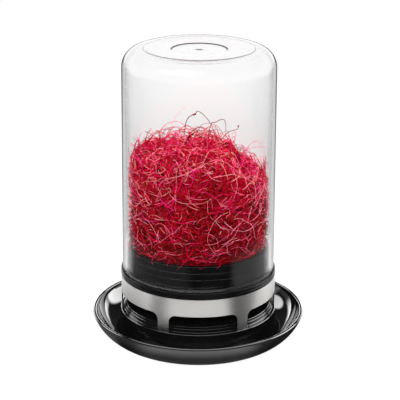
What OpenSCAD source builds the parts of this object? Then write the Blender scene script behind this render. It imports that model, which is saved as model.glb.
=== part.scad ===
// Sprouting jar: a glass jar that stands mouth down on a sieve lid, a steel stand and a drip tray.
// Millimetres, +Z up, origin at the middle of the tray's foot ring.

/* [Glass jar] */
// Outer diameter of the jar at its mouth
jar_d = 102; // [80:1:130]
// Height of the jar from its mouth to its base
jar_h = 149.6; // [110:0.2:200]
// How much narrower the jar is at its shoulder than at its mouth
jar_draft = 1.7; // [0.2:0.1:3]
// Thickness of the jar's side
glass_wall = 3; // [2.4:0.1:4]
// Thickness of the jar's base
glass_base = 3.2; // [2.4:0.1:5]
// Outer radius of the shoulder between side and base
shoulder_r = 12.5; // [8:0.5:16]
// Width of the ring on which the upright jar would stand
crest_w = 0.8; // [0.7:0.1:3]
// Radius of the inner edge of that ring
crest_r = 3; // [1:0.5:4]
// Depth of the hollow in the jar's base
punt_h = 4.2; // [2:0.2:6]
// Depth of the hollow where its sloping side ends
punt_side_h = 3.2; // [1:0.2:5]
// Width of the sloping side of the hollow
punt_side_w = 7; // [5:0.5:12]
// Radius of the bend at the foot of that slope
punt_r = 6; // [2:0.5:10]
// Radius of the edges of the mouth
mouth_r = 1.2; // [0.4:0.1:1.8]

/* [Lid] */
// Gap between the lips of the seal and the glass
seal_gap = 0.3; // [0.25:0.05:0.5]
// Thickness of the seal over its lips
seal_t = 1.7; // [1.2:0.1:2.5]
// Depth of the groove between the lips
lip_groove = 0.7; // [0.3:0.1:1]
// Height of the seal's lower lip
lower_lip_h = 6.5; // [3:0.1:9]
// Height of the seal's upper lip
upper_lip_h = 3.1; // [2:0.1:5]
// Radius of the edges of the lips
lip_r = 0.6; // [0.2:0.1:0.8]
// Play of the seal on its seat
seal_play = 0.05; // [0.02:0.01:0.1]
// How far the plug stays behind the lips
plug_back = 0.35; // [0.2:0.05:0.6]
// Height of the plug between the gasket and the seal
plug_foot_h = 3.25; // [1:0.05:8]
// Height of the plug above the seal
plug_top_h = 4.4; // [2:0.1:8]
// Thickness of the plug's wall behind the seal
plug_wall = 1.6; // [1.2:0.1:3]
// Radius of the plug's top edge
plug_edge_r = 0.7; // [0.3:0.1:0.8]
// How far the flange and the gasket stand out past the glass
bead_out = 1; // [0.4:0.1:2.5]
// Thickness of the flange
flange_t = 2.2; // [1.6:0.1:4]
// Thickness of the gasket
gasket_t = 2.05; // [1.6:0.05:4]
// Radius of the outer edges of the flange and the gasket
bead_r = 0.75; // [0.3:0.05:0.75]
// Play between the gasket and the plug
gasket_play = 0.1; // [0.05:0.05:0.3]
// Depth of the skirt inside the band
skirt_h = 9; // [5:0.5:11]
// Thickness of the skirt
skirt_t = 2; // [1.2:0.1:3]
// Play between the skirt and the band
skirt_play = 0.1; // [0.05:0.05:0.3]

/* [Sieve] */
// Play between the hoop and the plug
hoop_play = 0.3; // [0.25:0.05:0.6]
// Thickness of the hoop
hoop_t = 1.2; // [1:0.1:2]
// Height of the hoop
hoop_h = 4.6; // [3:0.1:6]
// How far the hoop's top lies below the plug's top
hoop_sunk = 1.2; // [0.4:0.1:3]
// Width of the ledge that carries the hoop
seat_w = 2.2; // [1.6:0.1:3]
// Thickness of that ledge
seat_t = 1.6; // [1:0.1:3]
// Thickness of the mesh
mesh_t = 0.6; // [0.4:0.1:1]
// Height of the mesh above the foot of the hoop
mesh_up = 1.8; // [0.8:0.1:2.2]
// How far the mesh goes into the hoop
mesh_grip = 0.5; // [0.3:0.1:0.7]
// Play between the mesh's edge and the hoop
mesh_play = 0.05; // [0.02:0.01:0.1]
// Distance between the middles of the mesh's gaps
mesh_pitch = 4.4; // [4.4:0.1:8]
// Width of the bars between the gaps
mesh_bar = 1.2; // [0.6:0.1:2]
// Whole rim of the mesh outside its gaps
mesh_rim = 0.8; // [0.4:0.1:3]

/* [Stand] */
// How far the band stands out past the glass
band_out = 0.85; // [0.5:0.05:2]
// Thickness of the band's steel
band_t = 0.8; // [0.5:0.1:1.2]
// Height of the band from its feet to its top edge
band_h = 24.3; // [20:0.1:40]
// Height of the arches
arch_h = 12.5; // [8:0.1:14]
// Radius of the upper corners of the arches
arch_r = 4.5; // [2:0.1:6]
// Number of feet
foot_count = 6; // [4:1:8]
// Width of each foot
foot_w = 8; // [5:0.1:12]
// Turn of the first arch from the front
foot_turn = 4.1; // [-30:0.1:30]

/* [Drip tray] */
// Height of the rim
rim_h = 19.4; // [14:0.1:28]
// Width of the moat at the rim
moat_w = 16.9; // [12:0.1:30]
// Width of the rim's lip
lip_w = 2.3; // [1.8:0.05:4]
// Drop of the lip towards its outer edge
lip_drop = 1.3; // [0.4:0.1:3]
// Radius of the edges of the rim's lip
rim_r = 0.7; // [0.2:0.1:0.8]
// Thickness of the tray's wall
tray_wall = 2.2; // [1.6:0.1:3]
// Radius of the curve of the tray's side
bowl_r = 27; // [24:0.5:60]
// Radius at the foot of the moat
moat_r = 2.5; // [1:0.1:4]
// Height of the ledge that carries the stand's feet
ledge_h = 20; // [14:0.1:28]
// Width of the ledge left outside the feet
ledge_out = 0.45; // [0.3:0.05:3]
// Radius of the ledge's outer edge
ledge_r = 0.6; // [0.2:0.1:1]
// How much wider the drum is at its foot than at its ledge
drum_lean = 1.7; // [0.2:0.1:3]
// Width of the ring on which the tray stands
foot_ring_w = 2.6; // [1.6:0.1:5]
// Play between the stand's feet and the spigot
spigot_play = 0.6; // [0.3:0.1:2]
// Height of the spigot above the ledge
spigot_h = 4.4; // [3:0.1:8]
// How far the spigot's side leans in
spigot_lean = 1.5; // [0.5:0.1:3]
// Radius of the spigot's top edge
spigot_r = 0.8; // [0.2:0.1:1.5]
// Rise of the middle above the spigot's edge, which sheds the water
crown_h = 1; // [0.2:0.1:3]

/* [Sprouts] */
// Height of the heap's upright side above the plug
heap_side_h = 48; // [25:1:60]
// Height of the heap's top above its side
heap_top_h = 31; // [15:1:40]
// How much higher the heap is on its left than on its right
heap_tilt = 10; // [0:1:16]
// Roundness of the heap's top, from square to a full arch
heap_round = 0.8; // [0.5:0.05:1]
// Depth of the hollows in the heap's surface
heap_lumps = 1.4; // [0.2:0.1:3]
// Gap between the heap's side and the glass
heap_gap = 2.6; // [1:0.1:5]
// Play between the heap and the hoop and plug
heap_play = 0.4; // [0.3:0.1:1]

/* [Hidden] */
$fn = 96;
// Degrees of arc to each step of a rounded outline
arc_step = 12;
// Cuts go this far past the faces that they open
cut_past = 2;
// Largest share of the glass that one edge of the mouth takes
mouth_share = 0.45;
// Points round the heap, and rings up its side and over its top
heap_spokes = 40;
heap_side_rings = 7;
heap_top_rings = 8;
// Waves that hollow the heap: how many go round it, and their turn in degrees for each millimetre up
heap_waves = [3, 5];
heap_wave_turns = [9, -14];

// Radii of the jar
jar_ro = jar_d / 2;
jar_ri = jar_ro - glass_wall;
jar_top_ro = jar_ro - jar_draft / 2;
jar_top_ri = jar_top_ro - glass_wall;
crest_ri = jar_top_ro - shoulder_r - crest_w;
punt_ri = crest_ri - punt_side_w;

// Radii of the lid and the sieve, from the jar's mouth inwards
lip_ro = jar_ri - seal_gap;
plug_ro = lip_ro - plug_back;
seal_ri = lip_ro - seal_t;
seat_ro = seal_ri - seal_play;
plug_ri = seat_ro - plug_wall;
hoop_ro = plug_ri - hoop_play;
hoop_ri = hoop_ro - hoop_t;
ledge_ri = plug_ri - seat_w;
groove_ro = hoop_ri + mesh_grip;
mesh_ro = groove_ro - mesh_play;
bead_ro = jar_ro + bead_out;

// Radii of the stand and the tray, from the jar's side outwards
band_ro = jar_ro + band_out;
band_ri = band_ro - band_t;
skirt_ro = band_ri - skirt_play;
skirt_ri = skirt_ro - skirt_t;
spigot_ro = band_ri - spigot_play;
spigot_top_ro = spigot_ro - spigot_lean;
drum_ro = band_ro + ledge_out;
drum_foot_ro = drum_ro + drum_lean;
rim_ri = drum_ro + moat_w;
rim_ro = rim_ri + lip_w;

// Heights, from the floor up
spigot_z = ledge_h + spigot_h;
band_z = ledge_h + band_h;
flange_z = band_z + flange_t;
mouth_z = flange_z + gasket_t;
seal_z = mouth_z + plug_foot_h;
groove_z = seal_z + lower_lip_h;
seal_top_z = groove_z + upper_lip_h;
plug_z = seal_top_z + plug_top_h;
hoop_z = plug_z - hoop_sunk - hoop_h;
mesh_z = hoop_z + mesh_up;
jar_z = mouth_z + jar_h;

// Half of the angle and of the width of an arch
arch_turn = 180 / foot_count - asin(foot_w / 2 / band_ro);
arch_half = band_ro * sin(arch_turn);
// Distance from the axis at which the cut for an arch starts
arch_near = band_ri * cos(arch_turn) - cut_past;

// The way from angle a to angle b, in degrees, the short way round
function turn_between(a, b) = (b - a + 540) % 360 - 180;

// Points on the circle of radius r about o, from angle a through turn t
function arc(o, r, a, t) =
    let (n = ceil(abs(t) / arc_step))
    [for (i = [0 : n]) o + r * [cos(a + t * i / n), sin(a + t * i / n)]];

// Direction of a vector, in degrees
function heading(v) = atan2(v[1], v[0]);

// Corner b between a and c, rounded at radius r
function corner(a, b, c, r) =
    let (
        u = (a - b) / norm(a - b),
        v = (c - b) / norm(c - b),
        half = acos(u * v) / 2,
        o = b + (u + v) / norm(u + v) * r / sin(half),
        start = heading(b + u * r / tan(half) - o),
        end = heading(b + v * r / tan(half) - o)
    )
    arc(o, r, start, turn_between(start, end));

// Centre of the arc of radius r from p to q that bulges to the right of the way from p to q
function bow_centre(p, q, r) =
    let (way = q - p, left = [-way[1], way[0]] / norm(way))
    (p + q) / 2 + left * sqrt(r * r - way * way / 4);

// The same points as corners that stay sharp
function sharp(points) = [for (p = points) [p[0], p[1], 0]];

// Outline through corners [radius from the axis, height, rounding]
function softened(path) =
    let (n = len(path), flat = [for (p = path) [p[0], p[1]]])
    [for (i = [0 : n - 1])
        each path[i][2] > 0
            ? corner(flat[(i + n - 1) % n], flat[i], flat[(i + 1) % n], path[i][2])
            : [flat[i]]];

module turned(path) {
    rotate_extrude() polygon(softened(path));
}

// Black saucer: moat, hollow drum with a ledge for the feet, and a low spigot that centres the stand
module drip_tray() {
    foot = [drum_foot_ro, 0];
    edge = [rim_ro, rim_h - lip_drop];
    bowl = bow_centre(foot, edge, bowl_r);
    side_start = heading(foot - bowl);
    side = arc(bowl, bowl_r, side_start, turn_between(side_start, heading(edge - bowl)));
    // The moat has the same centre as the side, one wall inside it, from under the lip to near the drum
    moat_bowl_r = bowl_r - tray_wall;
    moat_top = asin((rim_h - lip_w - bowl[1]) / moat_bowl_r);
    moat_end = -acos((drum_foot_ro + 2 * moat_r - bowl[0]) / moat_bowl_r);
    moat = arc(bowl, moat_bowl_r, moat_top, moat_end - moat_top);
    moat_z = bowl[1] - sqrt(moat_bowl_r ^ 2 - (drum_foot_ro - bowl[0]) ^ 2);
    color("#17181a") turned(concat(
        [
            [0, spigot_z + crown_h - tray_wall, 0],
            [spigot_top_ro - tray_wall, spigot_z - tray_wall, 0],
            [spigot_ro - tray_wall, ledge_h - tray_wall, 0],
            [drum_ro - tray_wall, ledge_h - tray_wall, 0],
            [drum_foot_ro - foot_ring_w, 0, 0]
        ],
        sharp([for (i = [0 : len(side) - 2]) side[i]]),
        [
            [rim_ro, rim_h - lip_drop, rim_r],
            [rim_ri, rim_h, rim_r]
        ],
        sharp(moat),
        [
            [drum_foot_ro, moat_z, moat_r],
            [drum_ro, ledge_h, ledge_r],
            [spigot_ro, ledge_h, 0],
            [spigot_top_ro, spigot_z, spigot_r],
            [0, spigot_z + crown_h, 0]
        ]
    ));
}

// One arch, standing on the line of the feet
module arch_outline() {
    translate([-arch_half, -cut_past]) square([2 * arch_half, arch_h - arch_r + cut_past]);
    translate([arch_r - arch_half, 0]) square([2 * (arch_half - arch_r), arch_h]);
    for (side = [-1, 1])
        translate([side * (arch_half - arch_r), arch_h - arch_r]) circle(arch_r);
}

// Brushed steel band with arches between its feet
module stand_band() {
    color("#b9b8b4") translate([0, 0, ledge_h]) difference() {
        cylinder(h = band_h, r = band_ro);
        translate([0, 0, -cut_past]) cylinder(h = band_h + 2 * cut_past, r = band_ri);
        for (i = [0 : foot_count - 1])
            rotate(foot_turn + i * 360 / foot_count)
                translate([0, -arch_near, 0])
                    rotate([90, 0, 0]) linear_extrude(band_ro + cut_past - arch_near) arch_outline();
    }
}

// Black lid: plug for the jar's mouth, flange, skirt held in the band, and a ledge for the sieve
module lid_collar() {
    color("#1b1c1e") turned([
        [skirt_ri, band_z - skirt_h, 0],
        [skirt_ro, band_z - skirt_h, 0],
        [skirt_ro, band_z, 0],
        [bead_ro, band_z, bead_r],
        [bead_ro, flange_z, bead_r],
        [plug_ro, flange_z, 0],
        [plug_ro, seal_z, 0],
        [seat_ro, seal_z, 0],
        [seat_ro, seal_top_z, 0],
        [plug_ro, seal_top_z, 0],
        [plug_ro, plug_z, plug_edge_r],
        [plug_ri, plug_z, plug_edge_r],
        [plug_ri, hoop_z, 0],
        [ledge_ri, hoop_z, 0],
        [ledge_ri, hoop_z - seat_t, 0],
        [plug_ri, hoop_z - seat_t - seat_w, 0],
        [plug_ri, band_z, 0],
        [skirt_ri, band_z, 0]
    ]);
}

// Soft ring between the flange and the jar's rim
module rim_gasket() {
    gasket_ri = plug_ro + gasket_play;
    color("#202123") turned([
        [gasket_ri, flange_z, 0],
        [bead_ro, flange_z, bead_r],
        [bead_ro, mouth_z, bead_r],
        [gasket_ri, mouth_z, 0]
    ]);
}

// Soft sleeve with two lips that hold the jar on the plug
module plug_seal() {
    color("#26282b") turned([
        [seal_ri, seal_z, 0],
        [lip_ro, seal_z, lip_r],
        [lip_ro, groove_z - lip_groove, lip_r],
        [lip_ro - lip_groove, groove_z, 0],
        [lip_ro, groove_z + lip_groove, lip_r],
        [lip_ro, seal_top_z, lip_r],
        [seal_ri, seal_top_z, 0]
    ]);
}

// Hoop of the sieve insert, with a groove for the mesh
module sieve_hoop() {
    color("#a8a8a6") turned([
        [hoop_ri, hoop_z, 0],
        [hoop_ro, hoop_z, 0],
        [hoop_ro, hoop_z + hoop_h, 0],
        [hoop_ri, hoop_z + hoop_h, 0],
        [hoop_ri, mesh_z + mesh_t, 0],
        [groove_ro, mesh_z + mesh_t, 0],
        [groove_ro, mesh_z, 0],
        [hoop_ri, mesh_z, 0]
    ]);
}

// Disc with square gaps that holds the sprouts back and lets the water out
module sieve_mesh() {
    gap = mesh_pitch - mesh_bar;
    field = hoop_ri - mesh_rim;
    reach = floor(field / mesh_pitch);
    cells = [for (i = [-reach : reach], j = [-reach : reach])
        if (norm([abs(i), abs(j)] * mesh_pitch + [gap, gap] / 2) < field) [i, j] * mesh_pitch];
    color("#b4b4b0") translate([0, 0, mesh_z]) linear_extrude(mesh_t) difference() {
        circle(mesh_ro);
        for (cell = cells) translate(cell) square(gap, center = true);
    }
}

// Clear jar, mouth down, with a hollow base
module glass_jar() {
    bend = min(mouth_r, glass_wall * mouth_share);
    inner_z = jar_z - glass_base;
    color("#dfe6e8", 0.35) turned([
        [jar_ri, mouth_z, bend],
        [jar_ro, mouth_z, bend],
        [jar_top_ro, jar_z, shoulder_r],
        [crest_ri, jar_z, crest_r],
        [punt_ri, jar_z - punt_side_h, punt_r],
        [0, jar_z - punt_h, 0],
        [0, inner_z - punt_h, 0],
        [punt_ri, inner_z - punt_side_h, punt_r],
        [crest_ri, inner_z, crest_r],
        [jar_top_ri, inner_z, shoulder_r - glass_wall]
    ]);
}

// Heap of sprouts on the mesh: a stem in the hoop, an upright side and a lumpy, tilted top
module sprouts() {
    stem_r = hoop_ri - heap_play;
    heap_r = jar_top_ri - heap_gap;
    stem_z = mesh_z + mesh_t;
    side_z = plug_z + heap_play;
    flare_h = heap_r - stem_r;
    turns = [for (j = [0 : heap_spokes - 1]) j * 360 / heap_spokes];
    // Hollows are waves round and up the heap, never outside heap_r
    function wave(i, a, z) = (1 - sin(heap_waves[i] * a + heap_wave_turns[i] * z)) / 2;
    function hollow(a, z) = heap_lumps * (wave(0, a, z) + wave(1, a, z));
    function side_top(a) = heap_side_h - heap_tilt * (1 + cos(a)) / 2;
    function side_point(a, t) =
        let (z = side_z + flare_h + (side_top(a) - flare_h) * t, r = heap_r - hollow(a, z))
        [r * cos(a), r * sin(a), z];
    function top_point(a, t) =
        let (
            rise = heap_top_h + heap_side_h - side_top(a),
            z = side_z + side_top(a) + rise * sin(90 * t),
            r = (heap_r - hollow(a, z)) * cos(90 * t) ^ heap_round
        )
        [r * cos(a), r * sin(a), z - hollow(2 * a, z) * sin(180 * t)];
    function level(r, z) = [for (a = turns) [r * cos(a), r * sin(a), z]];
    levels = concat(
        [level(stem_r, stem_z), level(stem_r, side_z)],
        [for (k = [0 : heap_side_rings]) [for (a = turns) side_point(a, k / heap_side_rings)]],
        [for (k = [1 : heap_top_rings - 1]) [for (a = turns) top_point(a, k / heap_top_rings)]]
    );
    count = len(levels);
    foot = count * heap_spokes;
    peak = foot + 1;
    points = concat(
        [for (ring = levels) each ring],
        [[0, 0, stem_z], [0, 0, side_z + heap_side_h + heap_top_h]]
    );
    walls = [for (k = [0 : count - 2], j = [0 : heap_spokes - 1])
        let (a = k * heap_spokes + j, b = k * heap_spokes + (j + 1) % heap_spokes)
        each [[a, a + heap_spokes, b], [b, a + heap_spokes, b + heap_spokes]]];
    ends = [for (j = [0 : heap_spokes - 1])
        let (next = (j + 1) % heap_spokes, last = (count - 1) * heap_spokes)
        each [[foot, j, next], [peak, last + next, last + j]]];
    color("#a3122f") polyhedron(points, concat(walls, ends));
}

drip_tray();
stand_band();
lid_collar();
rim_gasket();
plug_seal();
sieve_hoop();
sieve_mesh();
glass_jar();
sprouts();
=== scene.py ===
import math
import bpy
import numpy as np
from mathutils import Matrix, Vector


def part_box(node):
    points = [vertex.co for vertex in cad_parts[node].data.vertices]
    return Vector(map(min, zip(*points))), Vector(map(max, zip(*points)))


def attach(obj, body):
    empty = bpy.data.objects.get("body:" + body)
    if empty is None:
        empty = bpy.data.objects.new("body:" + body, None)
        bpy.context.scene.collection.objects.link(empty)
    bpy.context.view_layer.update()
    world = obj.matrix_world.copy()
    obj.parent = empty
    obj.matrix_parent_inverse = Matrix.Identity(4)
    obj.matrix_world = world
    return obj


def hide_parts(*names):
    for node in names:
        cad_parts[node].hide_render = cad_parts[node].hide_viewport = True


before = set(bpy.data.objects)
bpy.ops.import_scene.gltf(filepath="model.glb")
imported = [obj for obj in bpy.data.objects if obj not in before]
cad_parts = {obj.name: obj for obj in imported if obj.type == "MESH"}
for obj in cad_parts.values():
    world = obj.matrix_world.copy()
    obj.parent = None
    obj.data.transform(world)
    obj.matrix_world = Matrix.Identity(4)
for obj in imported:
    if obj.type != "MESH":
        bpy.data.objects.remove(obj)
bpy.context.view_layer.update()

# Sizes are in millimetres, and a mesh is turned into metres when it is made
MM = 0.001
SEGMENTS = 240
ARC_STEP = math.radians(5)
SHARP_ANGLE = math.radians(32)
ON_AXIS = 0.001
SEED = 41


def box_mm(node):
    """Lowest and highest corner of a CAD node, in millimetres."""
    low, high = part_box(node)
    return low / MM, high / MM


# Places that the frame gives
JAR_LOW, JAR_HIGH = box_mm("glass_jar")
BAND_LOW, BAND_HIGH = box_mm("stand_band")
COLLAR_LOW, COLLAR_HIGH = box_mm("lid_collar")
SEAL_LOW, SEAL_HIGH = box_mm("plug_seal")
HOOP_LOW, HOOP_HIGH = box_mm("sieve_hoop")
MESH_LOW, MESH_HIGH = box_mm("sieve_mesh")
JAR_R = JAR_HIGH.x
JAR_Z = JAR_HIGH.z
MOUTH_Z = JAR_LOW.z
BAND_R = BAND_HIGH.x
BAND_Z = BAND_HIGH.z
LEDGE_Z = BAND_LOW.z
FLANGE_Z = box_mm("rim_gasket")[0].z
BEAD_R = COLLAR_HIGH.x
PLUG_Z = COLLAR_HIGH.z
HOOP_R = HOOP_HIGH.x

# Glass
GLASS_WALL = 3.0
GLASS_BASE = 1.7
SHOULDER_WALL = 2.0
JAR_TOP_R = JAR_R - 0.85
SHOULDER_R = 12.5
SHOULDER_RI = SHOULDER_R - SHOULDER_WALL
CREST_R = JAR_TOP_R - SHOULDER_R - 0.8
CREST_SHIFT = 0.7
CREST_STEP = 0.3
DISH_H = 1.4
DISH_STEPS = 14
RECESS_R = 17.6
RECESS_H = 0.42
RECESS_SIDE = 1.0
RECESS_EDGE = 0.3
RECESS_MARGIN = 1.0
DIMPLE_R = 3.0
DIMPLE_H = 0.14
MOUTH_EDGE = 0.4
MOUTH_BEVEL = 0.4
MOUTH_BULGE = 0.3
MOUTH_BULGE_Z = 1.9
MOUTH_NECK_Z = 2.6

# Lid, from the jar's mouth inwards
SMALL_EDGE = 0.25
JAR_MOUTH_RI = JAR_R - GLASS_WALL
LIP_R = JAR_MOUTH_RI - 0.3
LIP_TOP_EDGE = 0.85
GROOVE_Z = SEAL_LOW.z + 5.2
GROOVE_W = 0.5
GROOVE_DEPTH = 1.0
PLUG_R = LIP_R - 0.35
SEAL_RI = LIP_R - 1.7
SEAT_R = SEAL_RI - 0.05
PLUG_RI = SEAT_R - 1.6
PLUG_EDGE = 0.7
BEAD_EDGE = 0.75
SIEVE_LEDGE_RI = PLUG_RI - 2.2
SIEVE_LEDGE_T = 1.6
GASKET_RI = PLUG_R + 0.1
SKIRT_R = BAND_R - 0.9
SKIRT_RI = SKIRT_R - 2.0

# Sieve
HOOP_RI = HOOP_R - 1.2
HOOP_GROOVE_R = HOOP_RI + 0.5
WEAVE_PITCH = 2.2
WIRE_R = 0.16
WIRE_SIDES = 5

# Drip tray
RIM_Z = 19.4
LIP_W = 2.3
LIP_DROP = 1.3
RIM_EDGE = 1.1
TRAY_WALL = 2.2
BOWL_R = 27.0
MOAT_W = 16.9
MOAT_EDGE = 2.5
DRUM_R = BAND_R + 0.45
DRUM_FOOT_R = DRUM_R + 1.7
LEDGE_EDGE = 0.6
FOOT_RING_W = 2.6
SPIGOT_R = BAND_R - 1.4
SPIGOT_TOP_R = SPIGOT_R - 1.5
SPIGOT_Z = LEDGE_Z + 4.4
SPIGOT_EDGE = 0.8
CROWN_H = 1.0
RIB_LEVELS = (0.0, 0.2, 0.64, 1.0)
RIB_EDGE = 0.4
OUTER_SIDE_TILT = 0.3
UNDERSIDE_TILT = -0.5

# Heap of sprouts
HEAP_R = 47.3
HEAP_FOOT_Z = PLUG_Z + 0.45
HEAP_BED_Z = MESH_HIGH.z + 0.8
HEAP_BED_MARGIN = 1.0
HEAP_TOP_Z = 141.0
HEAP_CROWN_Z = HEAP_TOP_Z - 4.0
HEAP_SHOULDER_Z = 100.0
HEAP_POWER = 5
FOOT_INSET = 3.5
FOOT_TOP_Z = 84.0
HEAP_DEPTH = 11.0

# The heap's top: broad lumps, small knobs, a slope to the back and (drop, start, end) steps to the right
LUMP_H = 1.6
LUMP_X = 5.3
LUMP_Y = 6.1
LUMP_SHIFT = 1.2
KNOB_H = 1.1
KNOB_X = 2.9
KNOB_Y = 3.7
BACK_SLOPE = 0.3
RIGHT_STEPS = ((10, 21, 28), (7, 28, 45))

# Dents in the heap, and tones that stems lying together share, as wave lengths
HOLLOW_WAVES = (3.3, 4.9, 3.9, 4.3, 7.0)
HOLLOW_MIDDLE = 0.35
HOLLOW_SWING = 1.1
CLUMP_WAVES = (4.4, 6.8, 5.6, 5.9, 9.5)

# The dark core, a body of painted shade inside the heap: its lumps are (height, count around, turn for each
# row)
CORE_DEPTH = 8.0
CORE_FOOT_DEPTH = HEAP_R - HOOP_RI + 0.8
CORE_AROUND = 72
CORE_ROWS = 30
CORE_BEND_ROW = 14
CORE_FOOT_ROWS = 4
CORE_CROWN_END = 0.995
CORE_LUMPS = ((1.5, 3, 0.3), (1.2, 7, -0.5))

# How stems start, bend and thin out
STRAND_SIDES = 4
NEAR_AXIS = 1e-6
TOP_SHARE = 0.28
START_LOW = 1.0
START_HIGH = 3.0
SIDE_FLATNESS = 0.55
SKIN_TURN = 0.7
OUT_PULL = 0.4
CURL_KEPT = 0.75
CURL_NEW = 0.66
SMOOTHINGS = 2
LOBES = 4
LOBE_RISE = 8.0
LOBE_DEPTH = 0.8
INSET_SHARE = 0.6
STEM_TAPER = 0.55
TAPER_POWER = 1.5
STEM_TIP = 0.4
STEM_END = 0.6

# Which shade a stem takes: by chance, paler by its height as painted light, darker at the foot as painted
# shade, and alike in clumps
PICK_CHANCE = 0.75
PAINTED_TOP_LIGHT = 0.5
PICK_BASE = 0.22
PAINTED_FOOT_SHADE = 0.35
PICK_CLUMP = 0.24

# Stems that rise from the heap's top in arcs
LOOP_R = HEAP_R - 3
LOOP_PARTS = (0.55, 1.0)
LOOP_SWAY = 3
LOOP_ROOT = 4
LOOP_TAPER = 0.5

# Stem ends that hang over the lid's edge
DRIP_COUNT = 16
DRIP_POINTS = 12
DRIP_BED_WAY = 0.45
DRIP_EDGE_WAY = 0.6
DRIP_INSETS = (3.5, 0.6)
DRIP_EDGE_GAP = 0.05
DRIP_RISES = (3.0, 1.0)
DRIP_EDGE_DROP = 0.2
DRIP_DROPS = (3.2, 0.6)
DRIP_LEAN = 0.07
DRIP_R = 0.16
DRIP_TAPER = 0.08
DRIP_SHADES = (0.3, 1.0)

# Single stems that stand out above the heap: width, shade and (across, depth, height) places
STRAYS = (
    (0.34, 0.98, ((-19, 0, 136), (-18.5, 0, 144), (-17, -1, 149), (-14, -2, 154.5), (-10, -2, 158),
                  (-7, -2, 160))),
    (0.56, 0.1, ((-10, 1, 136), (-9, 1, 145.5), (-7.5, 0, 150.5), (-5, 0, 153), (-2.3, 0, 154),
                 (-1, 0, 156), (3, 0, 153.5), (7, 0, 148.5), (9.5, 0, 143.5), (10.7, 0, 136))),
    (0.5, 0.12, ((6, -2, 140), (8, -2, 148), (10.7, -2, 149), (13.3, -2, 150.5), (16, -2, 151),
                 (17.2, -2, 149), (17.6, -2, 145), (17.5, -2, 137))),
    (0.5, 0.1, ((14, 0, 136), (19, 0, 141.5), (22.4, 0, 143), (25.3, 0, 144), (25.8, 0, 146.5))),
    (0.42, 0.25, ((-35.4, 0, 142), (-31.5, 0, 140.4), (-27, 0, 137), (-23, 0, 132))),
    (0.32, 0.92, ((-44.5, 0, 134), (-39.3, 0, 130.5), (-34, 0, 127))),
    (0.34, 0.85, ((26, 0, 124), (30, 0, 129), (34, 0, 131), (39, 0, 132), (44.4, 0, 131.5))),
    (0.36, 0.7, ((-27, 2, 138), (-24, 2, 144), (-19, 2, 147.5), (-13, 2, 148), (-8, 2, 144),
                 (-6, 2, 138))),
    (0.36, 0.4, ((-2, 3, 138), (1, 3, 145), (6, 3, 147), (12, 3, 145), (16, 3, 140))),
    (0.44, 0.2, ((-36, -8, 118), (-41, -10, 124), (-45, -8, 129), (-46, -4, 133))),
    (0.4, 0.12, ((-38, -6, 108), (-43.5, -9, 112), (-46, -6, 118.5))),
    (0.4, 0.8, ((36, -8, 114), (42, -10, 119), (45.5, -8, 122))),
    (0.36, 0.95, ((34, 0, 119), (40, 1, 124), (45.5, 2, 125))),
    (0.36, 0.3, ((-36, 3, 125), (-40, 2, 134), (-43, 0, 137.5))),
    (0.34, 0.9, ((30, 2, 122), (33, 2, 132), (38, 2, 135.5), (42, 2, 133))),
)
STRAY_POINTS = 26
STRAY_SIDES = 6
STRAY_TAPER = 0.35
STRAY_TIP = 0.5
# The second stem carries a leaf and the fourth ends in a seed: stem, size, way along and spread
SWELLINGS = ((1, 0.5, 0.42, 0.035), (3, 0.55, 0.95, 0.05))


def placed(name, data):
    """Object of a mesh, a lamp or a camera, put in the scene."""
    thing = bpy.data.objects.new(name, data)
    bpy.context.scene.collection.objects.link(thing)
    return thing


# Outlines and turned meshes
def arc(centre, radius, start, turn):
    """Points on a circle, from an angle through a turn."""
    n = max(1, math.ceil(abs(turn) / ARC_STEP))
    angles = [start + turn * i / n for i in range(n + 1)]
    return [centre + radius * Vector((math.cos(a), math.sin(a))) for a in angles]


def turn_between(a, b):
    """The way from angle a to angle b, the short way round."""
    return (b - a + 3 * math.pi) % (2 * math.pi) - math.pi


def heading(v):
    return math.atan2(v.y, v.x)


def corner(a, b, c, radius):
    """Corner b between a and c, rounded."""
    u = (a - b).normalized()
    v = (c - b).normalized()
    half = u.angle(v) / 2
    centre = b + (u + v).normalized() * radius / math.sin(half)
    start = heading(b + u * radius / math.tan(half) - centre)
    end = heading(b + v * radius / math.tan(half) - centre)
    return arc(centre, radius, start, turn_between(start, end))


def outline(path):
    """Outline through corners (radius, height) or (radius, height, rounding)."""
    flat = [Vector(p[:2]) for p in path]
    n = len(path)
    points = []
    for i, p in enumerate(path):
        if len(p) > 2:
            points += corner(flat[i - 1], flat[i], flat[(i + 1) % n], p[2])
        else:
            points.append(flat[i])
    return points


def lathe(name, path):
    """Mesh object turned about the upright axis from an outline that runs counter-clockwise."""
    verts, rings, faces = [], [], []
    for p in outline(path):
        count = 1 if p.x < ON_AXIS else SEGMENTS
        first = len(verts)
        rings.append([first + (j if count > 1 else 0) for j in range(SEGMENTS)])
        for j in range(count):
            a = 2 * math.pi * j / SEGMENTS
            verts.append((p.x * math.cos(a) * MM, p.x * math.sin(a) * MM, p.y * MM))
    for i, low in enumerate(rings):
        high = rings[(i + 1) % len(rings)]
        if low[0] == low[1] and high[0] == high[1]:
            continue
        for j in range(SEGMENTS):
            k = (j + 1) % SEGMENTS
            face = dict.fromkeys((low[j], low[k], high[k], high[j]))
            faces.append(tuple(face))
    mesh = bpy.data.meshes.new(name)
    mesh.from_pydata(verts, [], faces)
    mesh.shade_smooth()
    mesh.set_sharp_from_angle(angle=SHARP_ANGLE)
    return placed(name, mesh)


def dress(piece, body, slot, *materials, replaces=None):
    """Gives a piece its body and its materials; the slot is not used."""
    for material in materials:
        piece.data.materials.append(material)
    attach(piece, body)
    if replaces:
        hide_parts(replaces)


# Tubes along paths
TINY = 1e-9
FIRST_SIDE = (0.31, 0.52, 0.79)
MAP_NAME = "OFBake"
# A strand's strip of the map is narrow, but wide enough to hold a pixel
MAP_STRIP = 1 / 160


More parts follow.
